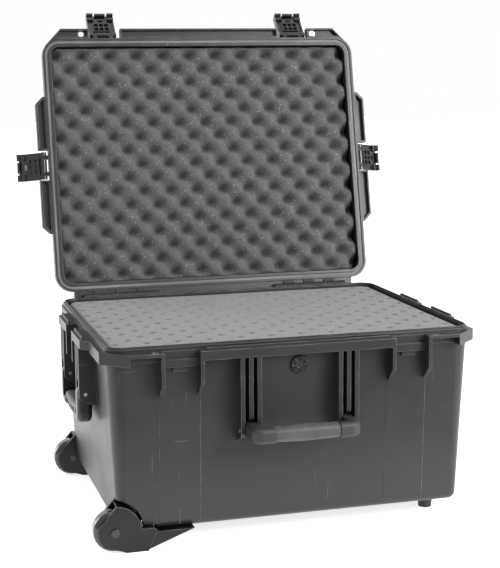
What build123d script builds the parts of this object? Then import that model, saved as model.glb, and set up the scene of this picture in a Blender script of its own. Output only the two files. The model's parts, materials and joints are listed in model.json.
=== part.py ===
from build123d import *
from math import cos, radians, tan
import os

# Wheeled hard equipment case, lid open: shells, latches, bail handles, wheels, foam.
#
# Millimetres. X runs along the case (the wheels are at -X, the pull handle at +X),
# Y runs from the latched front (-Y) to the hinge (+Y), Z is up. The origin is the
# centre of the underside of the base. Lid pieces are modelled closed, in place, and
# are then swung about the hinge to the open rest position.

os.makedirs("parts", exist_ok=True)

# ---------------------------------------------------------------- driving sizes
rim_length = 596.0          # outside of both rims along X
rim_depth = 464.0           # outside of both rims along Y
rim_radius = 32.0           # vertical corners of the rims
base_height = 288.0         # underside to mating face
lid_height = 54.0           # mating face to lid top
ground_clearance = 28.0     # floor to underside
draft = 3.0                 # slope of the base walls, degrees
lid_draft = 6.0             # slope of the lid walls, degrees
lid_round = 12.0            # round between the lid walls and its top
lid_foam_face = 5.0         # mating face to the foam peaks
wall = 5.5                  # base and lid walls
floor_thickness = 6.0
bottom_radius = 12.0        # round between the base walls and the underside
panel_raise = 0.8           # raised panels on the front wall below the latches
lip_round = 2.2             # outer and inner edges of the lip
collar_root = 12.0          # how far rails and ears reach in behind the rim edge
stack_rib_width = 34.0      # flat ribs on top of the lid
stack_rib_height = 2.5

rim_overhang = 4.0          # rim beyond the wall below it
rim_band = 22.0             # height of the base rim band
lip_step = 3.0              # set-back of the lip above the band
lip_height = 6.0
lid_rim_width = 15.0        # lid rim, outside to inside
lid_rim_height = 12.0
seal_inset = 7.0            # rim edge to the middle of the seal
seal_width = 5.0
seal_depth = 5.5            # groove depth in the lid rim
seal_height = 3.1           # gasket thickness
tongue_width = 2.0
tongue_height = 2.2

collar_reach = 18.0         # rails, ears and columns beyond the rim
rail_height = 14.0
rail_chamfer = 13.0         # slanted outer ends of the side rails
rail_half = 152.0           # half length of the front rail
side_rail_end = 125.0       # side rails end here from the middle
ear_height = 4.5
ear_start = 211.0           # ears run from here to the corner
ear_end = 263.0
guard_height = 18.0
guard_front = 212.0         # front corner of a guard from the middle
strip_height = 4.5          # locating strip on the base rails
strip_width = 4.0
channel_wall = 3.0          # outer lip of the lid rails
channel_depth = 9.0

latch_x = 183.5             # front latches from the middle
latch_bay = 55.0            # clear width between the latch ribs
latch_rib = 5.0
latch_rib_drop = 70.0       # mating face to the toe of a latch rib
latch_rib_toe = 14.0        # height of the slanted toe
latch_rib_depth = 26.0      # root of a rib behind the rim edge
catch_drop = 30.5           # mating face to the catch edge
catch_tab_width = 22.0
catch_tab_drop = 7.5
catch_reach = 4.0           # catch edge beyond the rim
catch_height = 12.0
catch_depth = 18.0          # how far the catch edge reaches in behind the rim edge
latch_width = 50.0
latch_length = 50.0         # pin to free end
latch_thickness = 8.0
latch_pin_rise = 14.0       # pin above the mating face
latch_pin_reach = 8.0       # pin beyond the rim
latch_pin_diameter = 4.0
latch_barrel = 5.0          # radius of the latch and lug barrels
lug_x = 15.0                # lid lugs from the middle of the latch
lug_width = 7.0
hook_reach = 6.5            # hooks behind the latch pin
hook_width = 12.0
hook_height = 4.4
hook_bar = 20.0             # bar between the two hooks
pocket = 7.4                # square pockets on the inner side
latch_open = 120.0          # swing from closed to the open stop, degrees
button_width = 22.0
button_height = 15.0
button_travel = 3.0

handle_span = 156.6         # middle to middle of the two columns
column_rib = 6.6            # column ribs and the slots between them
column_toe = 9.0            # lower end of a column below the pivot
column_toe_slope = 16.0
column_toe_round = 9.0
column_depth = 40.0         # root of a column behind the rim edge
front_pivot_z = 153.0
side_pivot_z = 191.0
pivot_depth = 10.0          # pivot behind the column face
pivot_pin = 6.0
bail_drop = 50.0            # pivot to the far side of the grip
bail_thickness = 24.0
bail_bar = 25.0             # grip depth in the plane of the bail
bail_core = 12.0            # bar inside the soft grip
grip_half = 52.0            # half length of the soft grip
bail_corner = 18.0

hinge_back = 13.6           # hinge axis behind the rim
hinge_drop = 3.5            # hinge axis below the mating face
hinge_barrel = 8.0          # knuckle radius
hinge_pin_diameter = 5.0
knuckle_width = 19.0
knuckle_pitch = 40.0
knuckle_count = 4           # base knuckles on each side of the middle
hinge_start = 120.0         # first base knuckle from the middle
lid_open = 102.4            # swing of the lid from closed, degrees
hinge_rail_reach = 12.5     # rail along the back of the lid, beyond the rim

wheel_radius = 32.0
wheel_width = 26.0
hub_radius = 20.0
hub_recess = 8.0            # depth of the hollows on both faces of the hub
hub_spokes = 5
spoke_width = 3.0
axle_x = -287.0
axle_z = 5.0
axle_diameter = 8.0
axle_head = 14.0
plate_thickness = 5.0       # side plates of the wheel housing
housing_face = 226.0        # outer face of the housing from the middle
housing_radius = 41.0
well_gap = 5.0              # between the housing and its well
well_flange_top = 9.0       # roof of the well over the housing flange
housing_screw = 5.0
skid_back = -162.0          # where the skid ramp meets the underside
skid_foot = -236.0          # where it meets the floor

foot_x = 250.0
foot_y = 150.0
foot_radius = 10.5
foot_screw = 4.0

trough_half = 60.0          # half width of the pull handle trough
trough_depth = 22.0
trough_start = -190.0
tube_diameter = 16.0
tube_wall = 1.5
tube_y = 40.0
tube_z = 10.5
tube_travel = 380.0
guide_length = 42.0
tray_screw = 4.0
pull_grip_depth = 20.0
pull_grip_height = 18.0
pull_grip_round = 3.0
pull_socket = 6.5           # tube ends inside the grip
pull_button_width = 26.0
pull_button_height = 10.0
tray_plate = 2.5
tray_boss = 6.5             # radius of the screw pillars in the tray
tray_head = 4.0             # radius of the tray screw heads
tray_head_depth = 2.4       # counterbores that take the heads

padlock_x = 224.0
padlock_reach = 9.5         # hole middle beyond the rim
padlock_hole = 8.5
bush_wall = 1.5

valve_x = 5.0
valve_z = 247.0
valve_radius = 14.0
valve_teeth = 12            # notches round the rim of the valve cap
valve_stem = 14.0
valve_cap = 4.0             # thickness of the cap on the outside
valve_nut_height = 3.6

foam_gap = 5.0              # foam edge to base wall
top_pad = 34.0
bottom_pad_top = 60.0
pad_below_rim = 3.0

press_gap = 0.02            # radial room around pressed and threaded pieces
screw_depth = 9.0           # thread length of the housing screws in the shell
running_gap = 0.05          # radial play of shafts in bores
slip_gap = 0.4              # between pieces that slide or swing past each other
seat_gap = 0.3              # mating faces of lid and base

# --------------------------------------------------------------- derived places
slope = tan(radians(draft))
wall_half_x = rim_length / 2 - rim_overhang
wall_half_y = rim_depth / 2 - rim_overhang
face_x = rim_length / 2 + collar_reach
face_y = rim_depth / 2 + collar_reach
collar_top = base_height - lip_height
lid_base = base_height + seat_gap
rail_inner = latch_bay / 2
column_width = 5 * column_rib
column_inner = handle_span / 2 - column_width / 2
arm_outer = column_inner + 4 * column_rib - slip_gap
arm_inner = column_inner + column_rib + slip_gap
hinge_y = rim_depth / 2 + hinge_back
hinge_z = base_height - hinge_drop
well_radius = housing_radius + well_gap
plate_inner = housing_face - 2 * plate_thickness - wheel_width - 4 * slip_gap
wheel_y = housing_face - plate_thickness - wheel_width / 2 - 2 * slip_gap
well_inner = plate_inner - slip_gap
bush_radius = padlock_hole / 2 + bush_wall
padlock_y = rim_depth / 2 + padlock_reach
latch_y = rim_depth / 2 + latch_pin_reach
latch_z = base_height + latch_pin_rise
tube_start = trough_start + 22.0
tube_end = wall_half_x - base_height * slope + 6.0
shell_end = wall_half_x - base_height * slope
lid_bore = latch_pin_diameter / 2 + running_gap

lid_knuckle = knuckle_pitch - knuckle_width - 2 * slip_gap
tray_screw_xs = (-120.0, 0.0, 120.0)
tray_screw_ys = (-15.0, 15.0)
housing_screw_xs = (axle_x + 44.0, axle_x + 56.0)
well_end = axle_x + 66.0

valve_wall_y = wall_half_y - (base_height - valve_z) * slope
valve_plane = Plane(
    origin=(valve_x, -valve_wall_y, valve_z), x_dir=(1, 0, 0), z_dir=(0, -1, -slope),
)

# Turn about Z from the front, reach from the middle, place along that side.
latch_names = ("front_left", "front_right", "left", "right")
latch_places = (
    (0, rim_depth / 2, -latch_x),
    (0, rim_depth / 2, latch_x),
    (-90, rim_length / 2, 0),
    (90, rim_length / 2, 0),
)
# Turn about Z, reach of the column face, height of the pivot, rest angle from hanging.
bail_places = {
    "front": (0, face_y, front_pivot_z, 90),
    "left": (-90, face_x, side_pivot_z, 0),
    "right": (90, face_x, side_pivot_z, 0),
}

# The lid swings about the hinge; a turn about the front, left or right side of
# the case carries a piece modelled at the front to the side that it belongs to.
to_open = (
    Location((0, hinge_y, hinge_z))
    * Location((0, 0, 0), (-lid_open, 0, 0))
    * Location((0, -hinge_y, -hinge_z))
)


def hanging_block(length, depth, radius, top, height, taper):
    """Upright block hanging from its widest section, shrinking downward."""
    with BuildPart() as block:
        with BuildSketch(Plane.XY.offset(top)):
            RectangleRounded(length, depth, radius)
        extrude(amount=-height, taper=taper)
    return block.part


def box_between(x0, x1, y0, y1, z0, z1):
    """Plain box given by its two opposite corners."""
    with BuildPart() as block:
        with Locations(((x0 + x1) / 2, (y0 + y1) / 2, (z0 + z1) / 2)):
            Box(abs(x1 - x0), abs(y1 - y0), abs(z1 - z0))
    return block.part


def collar_outline(inset=0.0, ears=True):
    """Rails and ears around the rim as seen from above."""
    out_y = face_y - inset
    out_x = face_x - inset
    root_x = rim_length / 2 - collar_root
    root_y = rim_depth / 2 - collar_root
    corner_x = rim_length / 2 - rim_radius * (1 - cos(radians(45))) - inset
    corner_y = rim_depth / 2 - rim_radius * (1 - cos(radians(45)))
    with BuildSketch() as outline:
        with Locations((0, -(out_y + root_y) / 2)):
            Rectangle(2 * (rail_half - inset), out_y - root_y)
        for side in (-1, 1):
            for end in (-1, 1):
                stop = side_rail_end - inset
                with BuildLine():
                    Polyline(
                        (side * root_x, end * (rail_inner + inset)),
                        (side * out_x, end * (rail_inner + inset)),
                        (side * out_x, end * (stop - rail_chamfer)),
                        (side * (out_x - rail_chamfer), end * stop),
                        (side * root_x, end * stop),
                        close=True,
                    )
                make_face()
            if ears:
                with BuildLine():
                    Polyline(
                        (side * (ear_start + inset), -root_y),
                        (side * (ear_start + inset), -out_y),
                        (side * ear_end, -out_y),
                        (side * corner_x, -corner_y),
                        (side * (corner_x - rim_radius / 2), -corner_y),
                        close=True,
                    )
                make_face()
    return outline.sketch


def guard_outline():
    """Guards that carry the side rails on round the two front corners of the base."""
    out_x = face_x - rail_chamfer
    root_x = rim_length / 2 - collar_root
    root_y = rim_depth / 2 - collar_root
    with BuildSketch() as outline:
        for side in (-1, 1):
            with BuildLine():
                Polyline(
                    (side * root_x, -side_rail_end + rail_chamfer),
                    (side * out_x, -side_rail_end),
                    (side * out_x, -guard_front),
                    (side * ear_end, -face_y),
                    (side * ear_end, -root_y),
                    (side * root_x, -root_y),
                    close=True,
                )
            make_face()
    return outline.sketch


def seal_ring(width):
    """Ring along the middle of the rims, where tongue, groove and gasket meet."""
    with BuildSketch() as ring:
        for edge, mode in ((width / 2, Mode.ADD), (-width / 2, Mode.SUBTRACT)):
            RectangleRounded(
                rim_length - 2 * (seal_inset - edge), rim_depth - 2 * (seal_inset - edge),
                rim_radius - seal_inset + edge, mode=mode,
            )
    return ring.sketch


# ------------------------------------------------------------------- base shell
cavity_top = base_height + 10.0
cavity_half_x = wall_half_x - wall
cavity_half_y = wall_half_y - wall
cavity_radius = rim_radius - rim_overhang - wall

with BuildPart() as cavity:
    add(
        hanging_block(
            2 * cavity_half_x, 2 * cavity_half_y, cavity_radius,
            base_height, base_height - floor_thickness, draft,
        )
    )
    fillet(cavity.faces().sort_by(Axis.Z)[0].edges(), bottom_radius - wall)
    with BuildSketch(Plane.XY.offset(base_height)):
        RectangleRounded(2 * cavity_half_x, 2 * cavity_half_y, cavity_radius)
    extrude(amount=cavity_top - base_height)
    # The wheel wells and the pull handle trough stand up into the case.
    for end in (-1, 1):
        add(
            box_between(
                -rim_length, well_end + wall, end * (well_inner - wall), end * rim_depth,
                0, well_flange_top + screw_depth,
            ),
            mode=Mode.SUBTRACT,
        )
        with BuildSketch(Plane.XZ.offset(-end * (well_inner - wall))):
            with Locations((axle_x, axle_z)):
                Circle(well_radius + wall)
            with Locations((axle_x - well_radius, axle_z)):
                Rectangle(2 * well_radius, 2 * (well_radius + wall))
        extrude(amount=-end * 80.0, mode=Mode.SUBTRACT)
    add(
        box_between(
            trough_start - wall, rim_length, -trough_half - wall, trough_half + wall,
            0, trough_depth + wall,
        ),
        mode=Mode.SUBTRACT,
    )

with BuildPart() as latch_panels:
    # Slightly raised panels on the front wall below the latches.
    add(
        hanging_block(
            2 * (wall_half_x + panel_raise), 2 * (wall_half_y + panel_raise), rim_radius - rim_overhang,
            base_height, base_height - 2.0, draft,
        )
    )
    fillet(latch_panels.faces().sort_by(Axis.Z)[0].edges(), bottom_radius)
    with Locations(*[(x, -rim_depth / 2, base_height / 2) for x in (-latch_x, latch_x)]):
        Box(latch_bay + 2 * latch_rib, rim_depth / 2, 2 * base_height, mode=Mode.INTERSECT)

with BuildPart() as base_shell:
    add(
        hanging_block(
            2 * wall_half_x, 2 * wall_half_y, rim_radius - rim_overhang,
            base_height, base_height, draft,
        )
    )
    fillet(base_shell.faces().sort_by(Axis.Z)[0].edges(), bottom_radius)
    add(latch_panels.part)
    # Rim band with a stepped lip above it and a seal tongue on top.
    with BuildSketch(Plane.XY.offset(base_height - rim_band)):
        RectangleRounded(rim_length, rim_depth, rim_radius)
    extrude(amount=rim_band - lip_height)
    with BuildSketch(Plane.XY.offset(collar_top)):
        RectangleRounded(rim_length - 2 * lip_step, rim_depth - 2 * lip_step, rim_radius - lip_step)
    extrude(amount=lip_height)
    lip_edges = base_shell.edges().filter_by_position(Axis.Z, base_height - 0.1, base_height + 0.1)
    fillet(lip_edges, lip_round)
    with BuildSketch(Plane.XY.offset(base_height - 1.0)):
        add(seal_ring(tongue_width))
    extrude(amount=tongue_height + 1.0)
    # Rails and ears that meet the same outline on the lid.
    with BuildSketch(Plane.XY.offset(collar_top - rail_height)):
        add(collar_outline(ears=False))
    extrude(amount=rail_height)
    with BuildSketch(Plane.XY.offset(collar_top - ear_height)):
        add(collar_outline())
    extrude(amount=ear_height)
    with BuildSketch(Plane.XY.offset(collar_top - guard_height)):
        add(guard_outline())
    extrude(amount=guard_height)
    # Locating strips on the rails.
    strip_y = face_y - channel_wall - slip_gap - strip_width / 2 - 1.0
    strip_x = face_x - channel_wall - slip_gap - strip_width / 2 - 1.0
    with BuildSketch(Plane.XY.offset(collar_top)):
        with Locations((0, -strip_y)):
            Rectangle(2 * rail_half - 12.0, strip_width)
        strip_length = side_rail_end - rail_chamfer - rail_inner - 8.0
        with GridLocations(2 * strip_x, 2 * (rail_inner + 4.0 + strip_length / 2), 2, 2):
            Rectangle(strip_width, strip_length)
    extrude(amount=strip_height)
    # Latch bays: catch edge and tab between two guard ribs, on the front and the ends.
    for turn, reach, place in latch_places:
        bay = Plane.XY.rotated((0, 0, turn))
        bay_bottom = base_height - catch_drop
        catch_middle = (place, -reach + catch_depth / 2, bay_bottom + catch_height / 2)
        with Locations(bay.location * Location(catch_middle)):
            Box(latch_bay + latch_rib, catch_depth + 2 * catch_reach, catch_height)
        with Locations(bay.location * Location((place, -reach + catch_depth / 2, bay_bottom))):
            Box(catch_tab_width, catch_depth, 2 * catch_tab_drop)
        for side in (-1, 1):
            rib_x = place + side * (latch_bay + latch_rib) / 2
            rib_plane = Plane(bay.location * Plane.YZ.offset(rib_x - latch_rib / 2).location)
            with BuildSketch(rib_plane):
                with BuildLine():
                    Polyline(
                        (-reach - collar_reach, collar_top),
                        (-reach - collar_reach, base_height - latch_rib_drop + latch_rib_toe),
                        (-reach + 3.0, base_height - latch_rib_drop - 6.0),
                        (-reach + latch_rib_depth, base_height - latch_rib_drop - 6.0),
                        (-reach + latch_rib_depth, collar_top),
                        close=True,
                    )
                make_face()
            extrude(amount=latch_rib)
    # Handle columns: three ribs each; the middle one stops above the bail arm.
    for turn, reach, pivot_z, raised in bail_places.values():
        bay = Plane.XY.rotated((0, 0, turn))
        for side in (-1, 1):
            for rib in (0, 2, 4):
                x0 = column_inner + rib * column_rib
                x0 = x0 if side > 0 else -x0 - column_rib
                toe = pivot_z - column_toe if rib != 2 else pivot_z + bail_thickness / 2 + 6.0
                with BuildSketch(Plane(bay.location * Plane.YZ.offset(x0).location)) as rib_side:
                    with BuildLine():
                        Polyline(
                            (-reach, collar_top - 2.0),
                            (-reach, toe),
                            (-reach + column_depth, toe - column_toe_slope),
                            (-reach + column_depth, collar_top - 2.0),
                            close=True,
                        )
                    make_face()
                    fillet(rib_side.vertices().group_by(Axis.Y)[1], column_toe_round)
                extrude(amount=column_rib)
            with BuildSketch(Plane(bay.location * Plane.YZ.offset(side * handle_span / 2).location)):
                with Locations((-reach + pivot_depth, pivot_z)):
                    Circle(pivot_pin / 2 + running_gap)
            extrude(amount=column_width, both=True, mode=Mode.SUBTRACT)
    # Hinge knuckles along the back.
    for side in (-1, 1):
        for k in range(knuckle_count):
            x0 = side * (hinge_start + k * knuckle_pitch) - knuckle_width / 2
            with BuildSketch(Plane.YZ.offset(x0)):
                with Locations((hinge_y, hinge_z)):
                    Circle(hinge_barrel)
                with BuildLine():
                    Polyline(
                        (rim_depth / 2 - 5.0, base_height - rim_band - 14.0),
                        (rim_depth / 2 - 5.0, hinge_z + hinge_drop - 2.5),
                        (hinge_y, hinge_z + 1.0),
                        (hinge_y + hinge_barrel * 0.9, hinge_z - 3.4),
                        close=True,
                    )
                make_face()
            extrude(amount=knuckle_width)
        with BuildSketch(Plane.YZ):
            with Locations((hinge_y, hinge_z)):
                Circle(hinge_pin_diameter / 2 + running_gap)
        extrude(amount=side * rim_length / 2, mode=Mode.SUBTRACT)
    # Hollow inside, then the openings from outside.
    add(cavity.part, mode=Mode.SUBTRACT)
    for end in (-1, 1):
        with BuildSketch(Plane.XZ.offset(-end * well_inner)):
            with Locations((axle_x, axle_z)):
                Circle(well_radius)
            with Locations((axle_x - well_radius, axle_z)):
                Rectangle(2 * well_radius, 2 * well_radius)
        extrude(amount=-end * 80.0, mode=Mode.SUBTRACT)
        add(
            box_between(axle_x, well_end, end * well_inner, end * rim_depth, -1.0, well_flange_top),
            mode=Mode.SUBTRACT,
        )
        with Locations(*[(x, end * wheel_y, well_flange_top) for x in housing_screw_xs]):
            Cylinder(housing_screw / 2 + press_gap, 2 * (screw_depth - 1.0), mode=Mode.SUBTRACT)
    add(
        box_between(trough_start, rim_length, -trough_half, trough_half, -1.0, trough_depth),
        mode=Mode.SUBTRACT,
    )
    with Locations((-padlock_x, -padlock_y, collar_top), (padlock_x, -padlock_y, collar_top)):
        Cylinder(bush_radius + press_gap, 4 * ear_height, mode=Mode.SUBTRACT)
    with Locations((foot_x, -foot_y, 0), (foot_x, foot_y, 0)):
        Cylinder(foot_screw / 2 + press_gap, 4 * floor_thickness, mode=Mode.SUBTRACT)
    with Locations(*[(x, y, trough_depth) for x in tray_screw_xs for y in tray_screw_ys]):
        Cylinder(tray_screw / 2 + press_gap, 4 * wall, mode=Mode.SUBTRACT)
    with BuildSketch(valve_plane):
        Circle(valve_stem / 2 + press_gap)
    extrude(amount=3 * wall, both=True, mode=Mode.SUBTRACT)
base_shell.part.label = "base_shell"
export_step(base_shell.part, "parts/base_shell.step")

# ---------------------------------------------------------- padlock bushes, base
with BuildPart() as base_bushes:
    with BuildSketch(Plane.XY.offset(collar_top - ear_height)):
        with Locations((-padlock_x, -padlock_y), (padlock_x, -padlock_y)):
            Circle(bush_radius)
            Circle(padlock_hole / 2, mode=Mode.SUBTRACT)
    extrude(amount=ear_height)
base_bushes.part.label = "base_padlock_bushes"
export_step(base_bushes.part, "parts/base_padlock_bushes.step")

# ------------------------------------------------------------------- lid shell
lid_top = lid_base + lid_height
lid_slope = tan(radians(lid_draft))
lid_rim_top = lid_base + lid_rim_height
rail_base = lid_base + 1.5
with BuildPart() as lid_shell:
    with BuildSketch(Plane.XY.offset(lid_base)):
        RectangleRounded(2 * wall_half_x, 2 * wall_half_y, rim_radius - rim_overhang)
    extrude(amount=lid_height, taper=lid_draft)
    fillet(lid_shell.faces().sort_by(Axis.Z)[-1].edges(), lid_round)
    with BuildSketch(Plane.XY.offset(lid_base)):
        RectangleRounded(rim_length, rim_depth, rim_radius)
    extrude(amount=lid_rim_height + 6.0)
    with BuildSketch(Plane.XY.offset(rail_base)):
        add(collar_outline())
        with Locations((0, (rim_depth + hinge_rail_reach) / 2 - 3.0)):
            Rectangle(rim_length - 2 * rim_radius, hinge_rail_reach + 6.0)
    extrude(amount=rail_height)
    for side in (-1, 1):
        for k in range(knuckle_count):
            x0 = side * (hinge_start + k * knuckle_pitch) - knuckle_width / 2 - slip_gap
            with BuildSketch(Plane.YZ.offset(x0)):
                with Locations((hinge_y, hinge_z)):
                    Circle(hinge_barrel + slip_gap)
            extrude(amount=knuckle_width + 2 * slip_gap, mode=Mode.SUBTRACT)
    # Long stacking ribs on top.
    with BuildSketch(Plane.XY.offset(lid_top - 1.0)):
        with GridLocations(0, rim_depth / 2, 1, 2):
            RectangleRounded(rim_length * 0.62, stack_rib_width, stack_rib_width / 4)
    extrude(amount=stack_rib_height + 1.0, taper=20)
    # Hollow: a narrow mouth inside the rim and the wider tray above it.
    with BuildSketch(Plane.XY.offset(lid_base)):
        RectangleRounded(
            rim_length - 2 * lid_rim_width, rim_depth - 2 * lid_rim_width, rim_radius - lid_rim_width,
        )
    extrude(amount=lid_rim_height + 1.0, mode=Mode.SUBTRACT)
    inset = rim_overhang + wall + lid_rim_height * lid_slope
    with BuildSketch(Plane.XY.offset(lid_rim_top)):
        RectangleRounded(rim_length - 2 * inset, rim_depth - 2 * inset, rim_radius - inset)
    extrude(amount=lid_height - lid_rim_height - wall, taper=lid_draft, mode=Mode.SUBTRACT)
    with BuildSketch(Plane.XY.offset(lid_base)):
        add(seal_ring(seal_width))
    extrude(amount=seal_depth, mode=Mode.SUBTRACT)
    # The rails are shallow channels, open toward the base.
    with BuildSketch(Plane.XY.offset(rail_base)):
        add(collar_outline(channel_wall))
        RectangleRounded(
            rim_length + 2 * channel_wall, rim_depth + 2 * channel_wall, rim_radius + channel_wall,
            mode=Mode.SUBTRACT,
        )
    extrude(amount=channel_depth, mode=Mode.SUBTRACT)
    # Lugs that hold the latch pins.
    for turn, reach, place in latch_places:
        side_of = Plane.XY.rotated((0, 0, turn)).location
        for lug in (-1, 1):
            x0 = place + lug * lug_x - lug_width / 2
            with BuildSketch(Plane(side_of * Plane.YZ.offset(x0).location)):
                with Locations((-reach - latch_pin_reach, latch_z)):
                    Circle(latch_barrel)
                with BuildLine():
                    Polyline(
                        (-reach - latch_pin_reach, latch_z - latch_barrel),
                        (-reach - latch_pin_reach, latch_z + latch_barrel),
                        (-reach + 4.0, latch_z + latch_barrel - 1.0),
                        (-reach + 4.0, lid_base + 4.0),
                        close=True,
                    )
                make_face()
            extrude(amount=lug_width)
        with BuildSketch(Plane(side_of * Plane.YZ.offset(place).location)):
            with Locations((-reach - latch_pin_reach, latch_z)):
                Circle(lid_bore)
        extrude(amount=latch_bay / 2 - 2.0, both=True, mode=Mode.SUBTRACT)
    # Hinge knuckles between those of the base.
    for side in (-1, 1):
        for k in range(knuckle_count - 1):
            x0 = side * (hinge_start + (k + 0.5) * knuckle_pitch) - lid_knuckle / 2
            with BuildSketch(Plane.YZ.offset(x0)):
                with Locations((hinge_y, hinge_z)):
                    Circle(hinge_barrel)
                with BuildLine():
                    Polyline(
                        (rim_depth / 2 - 3.0, lid_base + 0.4),
                        (rim_depth / 2 - 3.0, lid_base + 13.0),
                        (hinge_y + hinge_barrel * 0.82, hinge_z + hinge_barrel * 0.57),
                        (hinge_y - hinge_barrel * 0.5, hinge_z),
                        close=True,
                    )
                make_face()
            extrude(amount=lid_knuckle)
        with BuildSketch(Plane.YZ):
            with Locations((hinge_y, hinge_z)):
                Circle(hinge_pin_diameter / 2 + running_gap)
        extrude(amount=side * rim_length / 2, mode=Mode.SUBTRACT)
    with Locations(*[(side * padlock_x, -padlock_y, lid_base + rail_height) for side in (-1, 1)]):
        Cylinder(bush_radius + press_gap, 2 * rail_height, mode=Mode.SUBTRACT)
lid_shell.part.label = "lid_shell"
export_step(lid_shell.part.moved(to_open), "parts/lid_shell.step")

# ----------------------------------------------------------------- lid fittings
with BuildPart() as lid_bushes:
    with BuildSketch(Plane.XY.offset(rail_base + channel_depth)):
        with Locations((-padlock_x, -padlock_y), (padlock_x, -padlock_y)):
            Circle(bush_radius)
            Circle(padlock_hole / 2, mode=Mode.SUBTRACT)
    extrude(amount=rail_height - channel_depth)
lid_bushes.part.label = "lid_padlock_bushes"
export_step(lid_bushes.part.moved(to_open), "parts/lid_padlock_bushes.step")

with BuildPart() as lid_gasket:
    with BuildSketch(Plane.XY.offset(lid_base + seal_depth - seal_height)):
        add(seal_ring(seal_width - 0.04))
    extrude(amount=seal_height)
lid_gasket.part.label = "lid_gasket"
export_step(lid_gasket.part.moved(to_open), "parts/lid_gasket.step")

lid_foam_inset = lid_rim_width + 1.5
with BuildPart() as lid_foam:
    with BuildSketch(Plane.XY.offset(lid_base + lid_foam_face)):
        RectangleRounded(
            rim_length - 2 * lid_foam_inset, rim_depth - 2 * lid_foam_inset, rim_radius - lid_foam_inset,
        )
    extrude(amount=lid_height - wall - lid_foam_face)
lid_foam.part.label = "lid_foam"
export_step(lid_foam.part.moved(to_open), "parts/lid_foam.step")

with BuildPart() as latch_pins:
    for turn, reach, place in latch_places:
        side_of = Plane.XY.rotated((0, 0, turn)).location
        with BuildSketch(Plane(side_of * Plane.YZ.offset(place).location)):
            with Locations((-reach - latch_pin_reach, latch_z)):
                Circle(latch_pin_diameter / 2)
        extrude(amount=latch_width / 2 - 1.0, both=True)
latch_pins.part.label = "latch_pins"
export_step(latch_pins.part.moved(to_open), "parts/latch_pins.step")

# ---------------------------------------------------------------------- latches
# Modelled hanging closed with the pin along X at the origin, outer face toward -Y.
slab_out = -latch_thickness - 2.0
slab_in = -2.0
button_middle = -latch_length + 5.0 + button_height / 2
with BuildPart() as latch:
    with BuildSketch(Plane.YZ.offset(-latch_width / 2)) as latch_side:
        with BuildLine():
            Polyline(
                (slab_out, -2.5), (slab_out + 4.0, 3.8), (2.0, latch_barrel), (slab_in, 0.0),
                (slab_in, -latch_length), (slab_out, -latch_length), close=True,
            )
        make_face()
        Circle(latch_barrel)
    extrude(amount=latch_width)
    fillet(latch.edges().filter_by(Axis.X).group_by(Axis.Z)[0].sort_by(Axis.Y)[0], 3.0)
    # Grid of square pockets on the inner side.
    with BuildSketch(Plane.XZ.offset(-slab_in)):
        with Locations((0, -19.0)):
            Rectangle(31.0, 21.0)
            with GridLocations(pocket + 2.2, pocket + 2.2, 3, 2):
                Rectangle(pocket, pocket, mode=Mode.SUBTRACT)
    extrude(amount=-4.0)
    # Catch hooks and stiffening blocks at the free end.
    for side in (-1, 1):
        hook_x = side * (latch_width - hook_width) / 2
        with Locations((hook_x, slab_in + 2.5, -latch_length + 6.5)):
            Box(hook_width, 5.0, 13.0)
        with Locations((hook_x, (slab_in + hook_reach) / 2, -latch_length + hook_height / 2)):
            Box(hook_width, hook_reach - slab_in, hook_height)
        with Locations((side * (latch_width / 2 - 1.2), slab_in + 1.5, -latch_length / 2)):
            Box(2.4, 3.0, latch_length)
    with Locations((0, (slab_in + hook_reach) / 2 - 0.5, -latch_length + hook_height / 2)):
        Box(hook_bar, hook_reach - slab_in - 1.0, hook_height)
    # Room for the lid lugs, the pin and the button.
    for lug in (-1, 1):
        with Locations((lug * lug_x, 3.0, 3.0)):
            Box(lug_width + 2 * slip_gap, 6.0 + 2 * latch_barrel, 2 * latch_barrel + 9.0, mode=Mode.SUBTRACT)
        with Locations((lug * lug_x, -4.0, 6.0)):
            Box(lug_width + 2 * slip_gap, 16.0, 16.0, mode=Mode.SUBTRACT)
    with BuildSketch(Plane.YZ):
        Circle(lid_bore)
    extrude(amount=latch_width, both=True, mode=Mode.SUBTRACT)
    with Locations((0, 0, button_middle)):
        Box(button_width, 4 * latch_thickness, button_height, mode=Mode.SUBTRACT)
with BuildPart() as latch_button:
    with Locations((0, (slab_out - 1.0 + slab_in + slip_gap) / 2, button_middle)):
        Box(button_width - slip_gap, slab_in + slip_gap - slab_out + 1.0, button_height - slip_gap)
    fillet(latch_button.edges().filter_by(Axis.Y), 1.5)
    with Locations((0, slab_in + 1.0 + slip_gap / 2, button_middle)):
        Box(button_width + 3.0, 2.0, button_height - slip_gap - 1.0)
    with Locations((0, slab_in, button_middle + 2.0)):
        Box(9.0, 40.0, 4.4, mode=Mode.SUBTRACT)

for name, (turn, reach, place) in zip(latch_names, latch_places):
    home = (
        to_open
        * Location((0, 0, 0), (0, 0, turn))
        * Location((place, -reach - latch_pin_reach, latch_z), (-latch_open, 0, 0))
    )
    for piece, kind in ((latch, "latch"), (latch_button, "latch_button")):
        copy_here = piece.part.moved(home)
        copy_here.label = f"{kind}_{name}"
        export_step(copy_here, f"parts/{kind}_{name}.step")

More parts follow.
